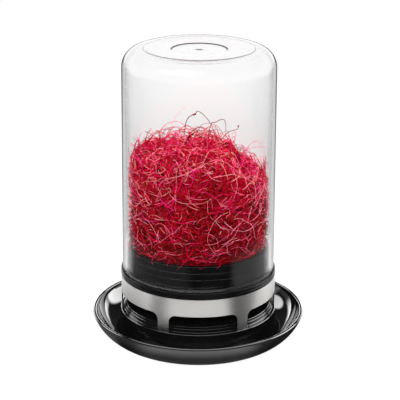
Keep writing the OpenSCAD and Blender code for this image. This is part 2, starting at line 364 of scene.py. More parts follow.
def unit(v):
    """Vectors of length 1."""
    return v / np.maximum(np.linalg.norm(v, axis=-1, keepdims=True), TINY)


def tube_corners(paths, radii, sides):
    """Corners of round tubes: paths is strands x points x 3, radii is strands x points."""
    along = unit(np.gradient(paths, axis=1))
    across = np.empty_like(paths)
    side = unit(np.cross(along[:, 0], np.array(FIRST_SIDE)))
    for i in range(paths.shape[1]):
        side = unit(side - along[:, i] * (side * along[:, i]).sum(-1, keepdims=True))
        across[:, i] = side
    over = np.cross(along, across)
    turns = np.arange(sides) * 2 * math.pi / sides
    ring = np.cos(turns)[:, None] * across[:, :, None] + np.sin(turns)[:, None] * over[:, :, None]
    return paths[:, :, None] + radii[:, :, None, None] * ring


def tube_mesh(name, paths, radii, sides, shades=None):
    """Mesh object of closed tubes. A strand's shade, from 0 to 1, and the way along it become the map."""
    count, points = radii.shape
    corners = tube_corners(paths, radii, sides).reshape(-1, 3)
    s, i, j = np.meshgrid(np.arange(count), np.arange(points - 1), np.arange(sides), indexing="ij")
    k = (j + 1) % sides
    low_ring = (s * points + i) * sides
    high_ring = low_ring + sides
    walls = [low_ring + j, low_ring + k, high_ring + k, high_ring + j]
    walls = np.stack(walls, axis=-1).reshape(-1, 4)
    ring = np.arange(sides)
    first = np.arange(count)[:, None] * points * sides
    last = first + (points - 1) * sides
    ends = np.stack([first + ring[::-1], last + ring], axis=1).reshape(-1, sides)
    face_corners = np.concatenate([walls.ravel(), ends.ravel()])
    starts = np.concatenate([np.arange(len(walls)) * 4, len(walls) * 4 + np.arange(len(ends)) * sides])
    mesh = bpy.data.meshes.new(name)
    mesh.vertices.add(len(corners))
    mesh.vertices.foreach_set("co", (corners * MM).ravel())
    mesh.loops.add(len(face_corners))
    mesh.loops.foreach_set("vertex_index", face_corners)
    mesh.polygons.add(len(starts))
    mesh.polygons.foreach_set("loop_start", starts)
    if shades is not None:
        left = shades[s] * (1 - MAP_STRIP) + MAP_STRIP * j / sides
        right = left + MAP_STRIP / sides
        low = i / (points - 1)
        high = (i + 1) / (points - 1)
        pairs = ((left, low), (right, low), (right, high), (left, high))
        wall_uv = np.stack([np.stack(pair, axis=-1) for pair in pairs], axis=-2).reshape(-1, 2)
        end_uv = np.stack([shades * (1 - MAP_STRIP), np.full(count, 0.5)], axis=-1)
        end_uv = np.repeat(end_uv, 2 * sides, axis=0)
        layer = mesh.uv_layers.new(name=MAP_NAME, do_init=False)
        layer.uv.foreach_set("vector", np.concatenate([wall_uv, end_uv]).astype(np.float32).ravel())
    mesh.update(calc_edges=True)
    mesh.shade_smooth()
    return placed(name, mesh)


# Materials
MIX_A = 6
MIX_B = 7
MIX_RESULT = 2


class Nodes:
    """A material's node tree, with short ways to add and join nodes."""

    def __init__(self, name):
        self.material = bpy.data.materials.new(name)
        self.material.use_nodes = True
        self.tree = self.material.node_tree
        self.shader = self.tree.nodes["Principled BSDF"]
        self.output = self.tree.nodes["Material Output"]

    def add(self, kind, **settings):
        node = self.tree.nodes.new("ShaderNode" + kind)
        for key, value in settings.items():
            setattr(node, key, value)
        return node

    def link(self, source, target):
        self.tree.links.new(source, target)

    def feed(self, value, socket):
        """Links a socket to another one, or gives it a plain value."""
        if isinstance(value, bpy.types.NodeSocket):
            self.link(value, socket)
        else:
            socket.default_value = value

    def set(self, **sockets):
        """Feeds the shader's sockets, by their names."""
        for name, value in sockets.items():
            name = name.replace("_", " ").title().replace("Ior", "IOR")
            self.feed(value, self.shader.inputs[name])

    def noise(self, scale, detail, place=None):
        """Noise over the object or another place, with a scale for each axis."""
        if place is None:
            place = self.add("TexCoord").outputs["Object"]
        mapping = self.add("Mapping")
        mapping.inputs["Scale"].default_value = scale
        self.link(place, mapping.inputs["Vector"])
        node = self.add("TexNoise")
        node.inputs["Scale"].default_value = 1.0
        node.inputs["Detail"].default_value = detail
        self.link(mapping.outputs["Vector"], node.inputs["Vector"])
        return node.outputs["Fac"]

    def axes(self, vector):
        """The three parts of a vector."""
        split = self.add("SeparateXYZ")
        self.link(vector, split.inputs[0])
        return (split.outputs[axis] for axis in "XYZ")

    def length(self, vector):
        node = self.add("VectorMath", operation="LENGTH")
        self.link(vector, node.inputs[0])
        return node.outputs["Value"]

    def span(self, value, low, high):
        """A value from 0 to 1 spread between low and high."""
        node = self.add("MapRange")
        node.inputs["To Min"].default_value = low
        node.inputs["To Max"].default_value = high
        self.link(value, node.inputs["Value"])
        return node.outputs["Result"]

    def step(self, value, start, end, low, high):
        """Smooth step from low to high, between two values."""
        node = self.add("MapRange", interpolation_type="SMOOTHSTEP")
        numbers = {"From Min": start, "From Max": end, "To Min": low, "To Max": high}
        for name, number in numbers.items():
            node.inputs[name].default_value = number
        self.link(value, node.inputs["Value"])
        return node.outputs["Result"]

    def math(self, operation, first, second, **settings):
        node = self.add("Math", operation=operation, **settings)
        self.feed(first, node.inputs[0])
        self.feed(second, node.inputs[1])
        return node.outputs[0]

    def times(self, first, second):
        return self.math("MULTIPLY", first, second)

    def most(self, first, *others):
        """The largest of some values."""
        for other in others:
            first = self.math("MAXIMUM", first, other)
        return first

    def ramp(self, value, *stops):
        """Colour ramp through (place, colour) stops."""
        node = self.add("ValToRGB")
        elements = node.color_ramp.elements
        while len(elements) < len(stops):
            elements.new(0.5)
        for element, (place, colour) in zip(elements, stops):
            element.position = place
            element.color = (*colour, 1.0)
        self.link(value, node.inputs["Fac"])
        return node.outputs["Color"]

    def bump(self, height, strength, depth):
        node = self.add("Bump")
        node.inputs["Strength"].default_value = strength
        node.inputs["Distance"].default_value = depth
        self.link(height, node.inputs["Height"])
        self.set(normal=node.outputs["Normal"])

    def blend(self, share, first, second):
        """Mix of two shaders."""
        node = self.add("MixShader")
        self.feed(share, node.inputs[0])
        self.link(first.outputs[0], node.inputs[1])
        self.link(second.outputs[0], node.inputs[2])
        return node

    def mix(self, share, first, second, **settings):
        """Mix of two colours."""
        node = self.add("Mix", data_type="RGBA", **settings)
        self.feed(share, node.inputs[0])
        self.feed(first, node.inputs[MIX_A])
        self.feed(second, node.inputs[MIX_B])
        return node.outputs[MIX_RESULT]


def even(scale):
    """The same number three times."""
    return (scale, scale, scale)


WHITE = (1.0, 1.0, 1.0, 1.0)
STEEL_DARK = (0.58, 0.57, 0.555)
STEEL_PALE = (0.74, 0.73, 0.71)
GLASS_TINT = (0.08, 0.10, 0.10, 1.0)
SKIN_SHADE = 0.62
ROOT_COLOUR = (0.62, 0.20, 0.15, 1.0)
ROOT_SHARES = ((0.0, 0.04), (0.2, 0.0), (0.8, 0.0), (1.0, 0.2))
# Colours of the core, painted shade between the stems
CORE_SHADE_DARK = (0.04, 0.0, 0.001)
CORE_SHADE_PALE = (0.14, 0.0, 0.003)


# Noise scales are in waves for each metre, and depths are in metres
def black_plastic(name, tones, roughness, grain, depth, shine=0.5):
    """Moulded black plastic: faint flow marks in its colour, uneven gloss and a fine grain."""
    n = Nodes(name)
    dark, pale = tones
    flow = n.noise(scale=even(60.0), detail=4.0)
    gloss = n.noise(scale=even(140.0), detail=5.0)
    n.bump(n.noise(scale=even(grain), detail=2.0), strength=0.35, depth=depth)
    n.set(base_color=n.ramp(flow, (0.3, even(dark)), (0.7, even(pale))),
          roughness=n.span(gloss, *roughness), specular_ior_level=shine)
    return n.material


def brushed_steel(name, roughness, streaks, anisotropic):
    """Stainless steel with fine marks along its brushing."""
    n = Nodes(name)
    fine = n.noise(scale=streaks, detail=6.0)
    tone = n.mix(share=0.35, first=fine, second=n.noise(scale=even(35.0), detail=2.0))
    n.bump(fine, strength=0.15, depth=0.00002)
    tangent = n.add("Tangent", direction_type="RADIAL", axis="Z").outputs["Tangent"]
    n.set(base_color=n.ramp(tone, (0.25, STEEL_DARK), (0.75, STEEL_PALE)),
          roughness=n.span(fine, *roughness), metallic=1.0,
          anisotropic=anisotropic, anisotropic_rotation=0.25, tangent=tangent)
    return n.material


def clear_glass():
    """Clear pressed glass, a little uneven, that lets lamp light through."""
    n = Nodes("clear_glass")
    n.set(base_color=WHITE, roughness=0.0, ior=1.47, transmission_weight=1.0)
    n.bump(n.noise(scale=(45.0, 45.0, 14.0), detail=1.0), strength=0.12, depth=0.0003)
    shadow = n.add("LightPath").outputs["Is Shadow Ray"]
    glass = n.blend(shadow, n.shader, n.add("BsdfTransparent"))
    n.link(glass.outputs[0], n.output.inputs["Surface"])
    body = n.add("VolumeAbsorption")
    body.inputs["Color"].default_value = GLASS_TINT
    body.inputs["Density"].default_value = 2.5
    n.link(body.outputs[0], n.output.inputs["Volume"])
    return n.material


def sprout_skin(name, *stops):
    """Moist stems: the map's first axis picks a stem's colour, and its second runs from stem to root."""
    n = Nodes(name)
    uv = n.add("UVMap", uv_map=MAP_NAME).outputs["UV"]
    pick, along, _ = n.axes(uv)
    marks = n.noise(scale=(90.0, 9.0, 1.0), detail=2.0, place=uv)
    shade = n.ramp(marks, (0.3, even(SKIN_SHADE)), (0.7, even(1.0)))
    tinted = n.mix(1.0, n.ramp(pick, *stops), shade, blend_type="MULTIPLY")
    rooty = n.ramp(along, *((place, even(share)) for place, share in ROOT_SHARES))
    n.set(base_color=n.mix(rooty, tinted, ROOT_COLOUR), roughness=0.22, specular_ior_level=0.03)
    return n.material


def heap_painted_shade():
    """Painted shade: a very dark red for the body between the stems, darker than the stems themselves."""
    n = Nodes("heap_painted_shade")
    marks = n.noise(scale=even(420.0), detail=4.0)
    n.bump(marks, strength=1.0, depth=0.002)
    n.set(base_color=n.ramp(marks, (0.35, CORE_SHADE_DARK), (0.65, CORE_SHADE_PALE)),
          roughness=0.8, specular_ior_level=0.05)
    return n.material


# Pieces
def dish_z(r, below):
    """Height of the jar's shallow dished base at a radius, a way below its crest."""
    return JAR_Z - below - DISH_H * (1 - (r / CREST_R) ** 2)


def dish(start, end, below):
    """Outline points of the jar's dished base between two radii."""
    steps = max(2, round(abs(start - end) / CREST_R * DISH_STEPS))
    return [(r, dish_z(r, below)) for r in np.linspace(start, end, steps + 1)]


def make_jar():
    """Jar that stands mouth down, with a round recess and a small dimple in its base."""
    recess = RECESS_R + RECESS_SIDE
    dimple_z = dish_z(DIMPLE_R, RECESS_H) - DIMPLE_H
    inner_crest = CREST_R - CREST_SHIFT
    return lathe("jar", [
        (JAR_R - GLASS_WALL, MOUTH_Z, MOUTH_EDGE),
        (JAR_R - MOUTH_BEVEL, MOUTH_Z, MOUTH_EDGE),
        (JAR_R, MOUTH_Z + MOUTH_BULGE_Z, MOUTH_EDGE),
        (JAR_R - MOUTH_BULGE, MOUTH_Z + MOUTH_NECK_Z, MOUTH_EDGE),
        (JAR_TOP_R, JAR_Z, SHOULDER_R),
        *dish(CREST_R, recess + RECESS_MARGIN, 0),
        (recess, dish_z(recess, 0), RECESS_EDGE),
        (RECESS_R, dish_z(RECESS_R, RECESS_H), RECESS_EDGE),
        *dish(RECESS_R - RECESS_MARGIN, DIMPLE_R, RECESS_H),
        (DIMPLE_R / 2, dimple_z),
        (0, dimple_z),
        *dish(0, inner_crest, GLASS_BASE)[:-1],
        (inner_crest, JAR_Z - GLASS_BASE),
        (inner_crest + CREST_STEP, JAR_Z - SHOULDER_WALL),
        (JAR_TOP_R - SHOULDER_WALL, JAR_Z - SHOULDER_WALL, SHOULDER_RI),
    ])


def make_collar():
    collar = lathe("collar", [
        (SKIRT_RI, COLLAR_LOW.z, SMALL_EDGE),
        (SKIRT_R, COLLAR_LOW.z, SMALL_EDGE),
        (SKIRT_R, BAND_Z),
        (BEAD_R, BAND_Z, BEAD_EDGE),
        (BEAD_R, FLANGE_Z, BEAD_EDGE),
        (PLUG_R, FLANGE_Z),
        (PLUG_R, SEAL_LOW.z, SMALL_EDGE),
        (SEAT_R, SEAL_LOW.z),
        (SEAT_R, SEAL_HIGH.z),
        (PLUG_R, SEAL_HIGH.z, SMALL_EDGE),
        (PLUG_R, PLUG_Z, PLUG_EDGE),
        (PLUG_RI, PLUG_Z, PLUG_EDGE),
        (PLUG_RI, HOOP_LOW.z),
        (SIEVE_LEDGE_RI, HOOP_LOW.z, SMALL_EDGE),
        (SIEVE_LEDGE_RI, HOOP_LOW.z - SIEVE_LEDGE_T, SMALL_EDGE),
        (PLUG_RI, HOOP_LOW.z - SIEVE_LEDGE_T - (PLUG_RI - SIEVE_LEDGE_RI)),
        (PLUG_RI, BAND_Z),
        (SKIRT_RI, BAND_Z),
    ])
    # The bead is dull, the plug above it is wet and the skirt below it is polished
    for face in collar.data.polygons:
        bead = face.center.to_2d().length > PLUG_R * MM or face.center.z < FLANGE_Z * MM
        face.material_index = 0 if face.center.z < BAND_Z * MM else 1 if bead else 2
    return collar


def make_gasket():
    return lathe("gasket", [
        (GASKET_RI, FLANGE_Z),
        (BEAD_R, FLANGE_Z, BEAD_EDGE),
        (BEAD_R, MOUTH_Z, BEAD_EDGE),
        (GASKET_RI, MOUTH_Z),
    ])


def make_seal():
    return lathe("seal", [
        (SEAL_RI, SEAL_LOW.z),
        (LIP_R, SEAL_LOW.z, SMALL_EDGE),
        (LIP_R, GROOVE_Z, LIP_TOP_EDGE),
        (LIP_R - GROOVE_DEPTH, GROOVE_Z),
        (LIP_R - GROOVE_DEPTH, GROOVE_Z + GROOVE_W),
        (LIP_R, GROOVE_Z + GROOVE_W, SMALL_EDGE),
        (LIP_R, SEAL_HIGH.z, LIP_TOP_EDGE),
        (SEAL_RI, SEAL_HIGH.z),
    ])


def make_hoop():
    return lathe("hoop", [
        (HOOP_RI, HOOP_LOW.z, SMALL_EDGE),
        (HOOP_R, HOOP_LOW.z, SMALL_EDGE),
        (HOOP_R, HOOP_HIGH.z, SMALL_EDGE),
        (HOOP_RI, HOOP_HIGH.z, SMALL_EDGE),
        (HOOP_RI, MESH_HIGH.z),
        (HOOP_GROOVE_R, MESH_HIGH.z),
        (HOOP_GROOVE_R, MESH_LOW.z),
        (HOOP_RI, MESH_LOW.z),
    ])


def make_weave():
    """Two sets of crossed wires that pass over and under each other."""
    middle = (MESH_LOW.z + MESH_HIGH.z) / 2
    reach = MESH_HIGH.x - WIRE_R
    count = int(reach / WEAVE_PITCH)
    crossings = np.arange(-2 * count, 2 * count + 1) * WEAVE_PITCH / 2
    corners = []
    for wire in range(-count, count + 1):
        across = wire * WEAVE_PITCH
        half = math.sqrt(reach ** 2 - across ** 2)
        along = np.concatenate([[-half], crossings[np.abs(crossings) < half - WIRE_R], [half]])
        wave = WIRE_R * np.cos(math.pi * (along / WEAVE_PITCH + wire))
        corners.append((along, np.full_like(along, across), middle + wave))
        corners.append((np.full_like(along, across), along, middle - wave))
    wires = [np.stack(c, axis=-1)[None] for c in corners]
    return join([tube_mesh("weave", w, np.full(w.shape[:2], WIRE_R), WIRE_SIDES) for w in wires])


def join(pieces):
    """One object from several."""
    with bpy.context.temp_override(active_object=pieces[0], selected_editable_objects=pieces):
        bpy.ops.object.join()
    return pieces[0]


def make_tray():
    """Saucer with a moat, a hollow drum with a ledge for the stand's feet, and a stepped spigot."""
    rim_ri = DRUM_R + MOAT_W
    rim_r = rim_ri + LIP_W
    foot = Vector((DRUM_FOOT_R, 0))
    edge = Vector((rim_r, RIM_Z - LIP_DROP))
    way = edge - foot
    left = Vector((-way.y, way.x)).normalized()
    bowl = (foot + edge) / 2 + left * math.sqrt(BOWL_R ** 2 - way.length_squared / 4)
    side_start = heading(foot - bowl)
    side = arc(bowl, BOWL_R, side_start, turn_between(side_start, heading(edge - bowl)))
    moat_r = BOWL_R - TRAY_WALL
    moat_top = math.asin((RIM_Z - LIP_W - bowl.y) / moat_r)
    moat_end = -math.acos((DRUM_FOOT_R + 2 * MOAT_EDGE - bowl.x) / moat_r)
    moat = arc(bowl, moat_r, moat_top, moat_end - moat_top)
    moat_z = bowl.y - math.sqrt(moat_r ** 2 - (DRUM_FOOT_R - bowl.x) ** 2)
    # Three steps run round the spigot
    levels = [LEDGE_Z + share * (SPIGOT_Z - LEDGE_Z) for share in RIB_LEVELS]
    radii = np.linspace(SPIGOT_R, SPIGOT_TOP_R, len(levels) - 1)
    ribs = []
    for r, low, high in zip(radii, levels, levels[1:]):
        ribs += [(r, low), (r, high, RIB_EDGE)]
    tray = lathe("tray", [
        (0, SPIGOT_Z + CROWN_H - TRAY_WALL),
        (SPIGOT_TOP_R - TRAY_WALL, SPIGOT_Z - TRAY_WALL, SPIGOT_EDGE),
        (SPIGOT_R - TRAY_WALL, LEDGE_Z - TRAY_WALL, SMALL_EDGE),
        (DRUM_R - TRAY_WALL, LEDGE_Z - TRAY_WALL, LEDGE_EDGE),
        (DRUM_FOOT_R - FOOT_RING_W, 0, SMALL_EDGE),
        *side[:-1],
        (*edge, RIM_EDGE),
        (rim_ri, RIM_Z, RIM_EDGE),
        *moat,
        (DRUM_FOOT_R, moat_z, MOAT_EDGE),
        (DRUM_R, LEDGE_Z, LEDGE_EDGE),
        *ribs,
        (0, SPIGOT_Z + CROWN_H),
    ])
    # The underside and the outer side are satin, and what faces up is polished
    for face in tray.data.polygons:
        out = face.normal.x * face.center.x + face.normal.y * face.center.y
        beyond_foot = face.center.to_2d().length > DRUM_FOOT_R * MM
        outside = beyond_foot and out > 0 and face.normal.z < OUTER_SIDE_TILT
        face.material_index = 1 if outside or face.normal.z < UNDERSIDE_TILT else 0
    return tray


# Sprouts
def step(value, low, high):
    """Smooth step from 0 to 1."""
    t = np.clip((value - low) / (high - low), 0, 1)
    return t * t * (3 - 2 * t)


def heap_top(x, y):
    """Top of the heap: lumpy, lower on the right and towards the back."""
    lumps = LUMP_H * np.sin(x / LUMP_X + LUMP_SHIFT) * np.sin(y / LUMP_Y)
    knobs = KNOB_H * np.sin(x / KNOB_X - y / KNOB_Y)
    top = HEAP_CROWN_Z + (lumps + knobs) - BACK_SLOPE * np.maximum(y, 0)
    for drop, start, end in RIGHT_STEPS:
        top = top - drop * step(x, start, end)
    return top


def skin_height(x, y):
    """Height of the heap's skin above a place."""
    bulge = (1 - np.minimum(np.hypot(x, y) / HEAP_R, 1) ** HEAP_POWER) ** (1 / HEAP_POWER)
    return HEAP_SHOULDER_Z + (heap_top(x, y) - HEAP_SHOULDER_Z) * bulge


def waves(points, lengths):
    """Crossed waves through the heap, from -1 to 1, by their five wave lengths."""
    x, y, z = points.T
    a, b, c, d, e = lengths
    return np.sin(x / a + z / b) * np.sin(z / c - y / d + x / e)


def hollows(points):
    """How deep the heap is dented at points, from 0 to 1."""
    return np.clip(HOLLOW_MIDDLE + HOLLOW_SWING * waves(points, HOLLOW_WAVES), 0, 1)


def heap_share(points):
    """How far points are out from the heap's middle, 1 at its skin, and the way out there."""
    x, y, z = points.T
    r = np.maximum(np.hypot(x, y), NEAR_AXIS)
    rise = heap_top(x, y) - HEAP_SHOULDER_Z
    u = r / HEAP_R
    v = np.maximum(z - HEAP_SHOULDER_Z, 0) / rise
    flat = u ** (HEAP_POWER - 1) / HEAP_R / r
    out = unit(np.stack([x * flat, y * flat, v ** (HEAP_POWER - 1) / rise], axis=-1))
    return (u ** HEAP_POWER + v ** HEAP_POWER) ** (1 / HEAP_POWER), out


def hold(points, headings, inset, dent):
    """Keeps points inside the heap, each by its own inset, and turns headings along its skin."""
    share, out = heap_share(points)
    limit = 1 - (inset + dent * hollows(points)) / HEAP_R
    over = share > limit
    shrink = np.where(over, limit / share, 1.0)
    lifted = points[:, 2] > HEAP_SHOULDER_Z
    middle = np.array((0.0, 0.0, HEAP_SHOULDER_Z))
    held = middle + (points - middle) * shrink[:, None]
    held[:, 2] = np.where(lifted, held[:, 2], points[:, 2])
    widest = HEAP_R - FOOT_INSET * (1 - step(held[:, 2], HEAP_FOOT_Z, FOOT_TOP_Z))
    r = np.maximum(np.hypot(held[:, 0], held[:, 1]), NEAR_AXIS)
    held[:, :2] *= np.minimum(1, widest / r)[:, None]
    in_hoop = np.hypot(held[:, 0], held[:, 1]) < HOOP_RI - HEAP_BED_MARGIN
    foot = np.where(in_hoop, HEAP_BED_Z, HEAP_FOOT_Z)
    low = held[:, 2] < foot
    held[:, 2] = np.maximum(held[:, 2], foot)
    outward = np.maximum((headings * out).sum(-1), 0) * over
    headings = headings - out * outward[:, None]
    headings[:, 2] = np.where(low, np.abs(headings[:, 2]), headings[:, 2])
    deep = (1 - share) * HEAP_R > HEAP_DEPTH
    return held, unit(headings + OUT_PULL * out * deep[:, None])


def wander(rng, starts, headings, lengths, points, bend, inset, dent):
    """Paths that bend at random and stay in the heap."""
    paths = np.empty((len(starts), points, 3))
    paths[:, 0] = starts
    pace = (lengths / (points - 1))[:, None]
    curl = rng.normal(size=starts.shape) * bend
    for i in range(1, points):
        curl = CURL_KEPT * curl + rng.normal(size=starts.shape) * bend * CURL_NEW
        headings = unit(headings + np.cross(curl, headings) * pace)
        place, headings = hold(paths[:, i - 1] + headings * pace, headings, inset, dent)
        paths[:, i] = place
    for _ in range(SMOOTHINGS):
        paths[:, 1:-1] = paths[:, :-2] / 4 + paths[:, 1:-1] / 2 + paths[:, 2:] / 4
    return paths


def heap_starts(rng, count, depth):
    """Points near the heap's skin, on its side and on its top, with headings along the skin."""
    turn = rng.uniform(0, 2 * math.pi, count)
    on_top = rng.random(count) < TOP_SHARE
    side = rng.uniform(HEAP_FOOT_Z + START_LOW, HEAP_TOP_Z - START_HIGH, count)
    rise = np.clip((side - HEAP_SHOULDER_Z) / (HEAP_TOP_Z - HEAP_SHOULDER_Z), 0, 1)
    side_r = HEAP_R * (1 - rise ** HEAP_POWER) ** (1 / HEAP_POWER)
    r = np.where(on_top, HEAP_R * np.sqrt(rng.random(count)), side_r)
    x, y = r * np.cos(turn), r * np.sin(turn)
    top = skin_height(x, y)
    skin = np.stack([x, y, np.where(on_top, top, np.minimum(side, top))], axis=-1)
    out = heap_share(skin)[1]
    ways = rng.normal(size=(count, 3))
    ways[:, 2] *= np.where(on_top, 1.0, SIDE_FLATNESS)
    ways -= SKIN_TURN * out * (ways * out).sum(-1, keepdims=True)
    return skin - out * rng.exponential(depth, count)[:, None], unit(ways)


def strands(name, rng, count, depth, lengths, widths, shades, bend, points, least=0.0, dent=0.0):
    """One piece of many stems, each held at least a given way inside the heap's skin."""
    starts, ways = heap_starts(rng, count, depth)
    lobes = np.sin(LOBES * np.arctan2(starts[:, 1], starts[:, 0]) + starts[:, 2] / LOBE_RISE)
    sunk = np.minimum(rng.exponential(depth * INSET_SHARE, count), HEAP_DEPTH / 2)
    inset = least + LOBE_DEPTH * (1 + lobes) + sunk
    paths = wander(rng, starts, ways, rng.uniform(*lengths, count), points, bend, inset, dent)
    taper = 1 - STEM_TAPER * np.linspace(0, 1, points) ** TAPER_POWER
    taper[-1] *= STEM_TIP
    taper[0] *= STEM_END
    radii = rng.uniform(*widths, count)[:, None] / 2 * taper
    # Painted light and shade: stems high on the heap take paler shades, those at its foot darker ones
    height = (starts[:, 2] - HEAP_FOOT_Z) / (HEAP_TOP_Z - HEAP_FOOT_Z)
    foot = 1 - step(starts[:, 2], HEAP_FOOT_Z, FOOT_TOP_Z)
    pick = rng.random(count) * PICK_CHANCE + PAINTED_TOP_LIGHT * height - PICK_BASE
    pick = pick - PAINTED_FOOT_SHADE * foot + PICK_CLUMP * waves(starts, CLUMP_WAVES)
    low, high = shades
    return tube_mesh(name, paths, radii, STRAND_SIDES, low + (high - low) * np.clip(pick, 0, 1))


def loops(name, rng, count, spans, lifts, widths, shades, points):
    """Stems that rise from the top of the heap in arcs, some with a free tip."""
    turn = rng.uniform(0, 2 * math.pi, count)
    r = LOOP_R * np.sqrt(rng.random(count))
    starts = np.stack([r * np.cos(turn), r * np.sin(turn)], axis=-1)
    swing = rng.uniform(0, 2 * math.pi, count)
    way = np.stack([np.cos(swing), np.sin(swing)], axis=-1)
    ends = starts + rng.uniform(*spans, count)[:, None] * way
    ends *= np.minimum(1, LOOP_R / np.hypot(*ends.T))[:, None]
    t = np.linspace(0, 1, points) * rng.uniform(*LOOP_PARTS, count)[:, None]
    bow = 4 * t * (1 - t)
    side = np.stack([-np.sin(swing), np.cos(swing)], axis=-1) * rng.normal(0, LOOP_SWAY, count)[:, None]
    flat = starts[:, None] + (ends - starts)[:, None] * t[:, :, None] + side[:, None] * bow[:, :, None]
    lowest = np.stack([skin_height(*p.T) for p in (starts, ends)]).min(0) - LOOP_ROOT
    z = lowest[:, None] + (rng.uniform(*lifts, count)[:, None] + LOOP_ROOT) * bow
    paths = np.concatenate([flat, z[:, :, None]], axis=-1)
    taper = 1 - LOOP_TAPER * np.linspace(0, 1, points) ** TAPER_POWER
    radii = rng.uniform(*widths, count)[:, None] / 2 * taper
    return tube_mesh(name, paths, radii, STRAND_SIDES, rng.uniform(*shades, count))


def make_drips(rng):
    """Stem ends that hang over the lid's edge, in the gap before the glass."""
    gap_r = (PLUG_R + JAR_MOUTH_RI) / 2
    edge_z = PLUG_Z - DRIP_EDGE_DROP
    ways = (0, DRIP_BED_WAY, DRIP_EDGE_WAY, 1)
    turn = rng.uniform(0, 2 * math.pi, DRIP_COUNT)
    t = np.linspace(0, 1, DRIP_POINTS)
    bed_r = [HEAP_R - inset for inset in DRIP_INSETS]
    bed_z = [PLUG_Z + rise for rise in DRIP_RISES]
    r = np.interp(t, ways, (*bed_r, gap_r - DRIP_EDGE_GAP, gap_r))
    ends = rng.uniform(*(PLUG_Z - drop for drop in DRIP_DROPS), DRIP_COUNT)[:, None]
    hung = (ends - PLUG_Z + DRIP_EDGE_DROP) * (t - DRIP_EDGE_WAY) / (1 - DRIP_EDGE_WAY)
    z = np.where(t > DRIP_EDGE_WAY, edge_z + hung, np.interp(t, ways, (*bed_z, edge_z, 0)))
    lean = turn[:, None] + rng.normal(0, DRIP_LEAN, DRIP_COUNT)[:, None] * t
    paths = np.stack([r * np.cos(lean), r * np.sin(lean), z], axis=-1)
    radii = np.tile(DRIP_R - DRIP_TAPER * t, (DRIP_COUNT, 1))
    return tube_mesh("sprout_drips", paths, radii, STRAND_SIDES, rng.uniform(*DRIP_SHADES, DRIP_COUNT))


def smooth_path(places, points):
    """Smooth curve through given places, with evenly spread points."""
    p = np.array(places, float)
    p = np.concatenate([[2 * p[0] - p[1]], p, [2 * p[-1] - p[-2]]])
    t = np.linspace(0, len(places) - 1, points)
    i = np.minimum(t.astype(int), len(places) - 2)
    f = (t - i)[:, None]
    a, b, c, d = p[i], p[i + 1], p[i + 2], p[i + 3]
    return b + 0.5 * f * (c - a + f * (2 * a - 5 * b + 4 * c - d + f * (3 * (b - c) + d - a)))


def make_strays():
    """Single stems that stand out above the heap."""
    widths, shades, routes = zip(*STRAYS)
    paths = np.stack([smooth_path(route, STRAY_POINTS) for route in routes])
    along = np.linspace(0, 1, STRAY_POINTS)
    taper = 1 - STRAY_TAPER * along
    taper[[0, -1]] *= STRAY_TIP
    radii = np.array(widths)[:, None] / 2 * taper
    for stem, size, place, spread in SWELLINGS:
        radii[stem] += size * np.exp(-((along - place) / spread) ** 2)
    return tube_mesh("sprout_strays", paths, radii, STRAY_SIDES, np.array(shades))


def make_core():
    """Dark lumpy body inside the heap, painted shade that stands in for the shaded stems deep within."""
    t = np.arange(CORE_ROWS + 1)[:, None]
    turn = np.arange(CORE_AROUND)[None] * 2 * math.pi / CORE_AROUND
    crown = np.clip((t - CORE_BEND_ROW) / (CORE_ROWS - CORE_BEND_ROW), 0, CORE_CROWN_END) * math.pi / 2
    r = HEAP_R * np.cos(crown) ** (2 / HEAP_POWER) * np.ones_like(turn)
    x, y = r * np.cos(turn), r * np.sin(turn)
    dome = (heap_top(x, y) - HEAP_SHOULDER_Z) * np.sin(crown) ** (2 / HEAP_POWER)
    wall = (HEAP_BED_Z - HEAP_SHOULDER_Z) * (1 - t / CORE_BEND_ROW)
    rise = np.where(t > CORE_BEND_ROW, dome, wall)
    lumps = sum(height * np.sin(count * turn + twist * t) for height, count, twist in CORE_LUMPS)
    foot = np.maximum(0, 1 - t / CORE_FOOT_ROWS)
    shrink = 1 - (CORE_DEPTH + lumps + (CORE_FOOT_DEPTH - CORE_DEPTH - lumps) * foot) / HEAP_R
    lift = np.where(rise > 0, shrink, 1.0)
    verts = np.stack([x * shrink, y * shrink, HEAP_SHOULDER_Z + rise * lift], axis=-1).reshape(-1, 3)
    last = CORE_ROWS * CORE_AROUND
    faces = [tuple(range(CORE_AROUND))[::-1], tuple(range(last, last + CORE_AROUND))]
    for i in range(CORE_ROWS):
        low = i * CORE_AROUND
        high = low + CORE_AROUND
        for j in range(CORE_AROUND):
            k = (j + 1) % CORE_AROUND
            faces.append((low + j, low + k, high + k, high + j))
    mesh = bpy.data.meshes.new("sprout_core")
    mesh.from_pydata((verts * MM).tolist(), [], faces)
    mesh.shade_smooth()
    return placed("sprout_core", mesh)


GLOSS = black_plastic("black_gloss", tones=(0.0015, 0.003), roughness=(0.03, 0.07),
                      grain=900.0, depth=0.00001)
SATIN = black_plastic("black_satin", tones=(0.005, 0.008), roughness=(0.28, 0.36),
                      grain=3500.0, depth=0.00004)
RUBBER = black_plastic("black_rubber", tones=(0.001, 0.002), roughness=(0.16, 0.26),
                       grain=2200.0, depth=0.00002, shine=0.09)
WET = black_plastic("black_wet", tones=(0.0006, 0.002), roughness=(0.12, 0.2),
                    grain=2200.0, depth=0.00002, shine=0.3)
STEEL = brushed_steel("brushed_steel", roughness=(0.24, 0.36), streaks=(18.0, 18.0, 5200.0),
                      anisotropic=0.75)
WIRE = brushed_steel("wire_steel", roughness=(0.22, 0.34), streaks=even(900.0), anisotropic=0.0)
# From dark red stems through pinks to pale roots
STEM_SKIN = sprout_skin(
    "stem_skin",
    (0.0, (0.08, 0.0, 0.001)),
    (0.3, (0.28, 0.0, 0.004)),
    (0.6, (0.50, 0.0, 0.018)),
    (0.76, (0.66, 0.004, 0.075)),
    (0.86, (0.72, 0.016, 0.20)),
    (0.92, (0.84, 0.09, 0.19)),
    (0.96, (0.90, 0.28, 0.35)),
    (1.0, (0.90, 0.35, 0.24)),
)

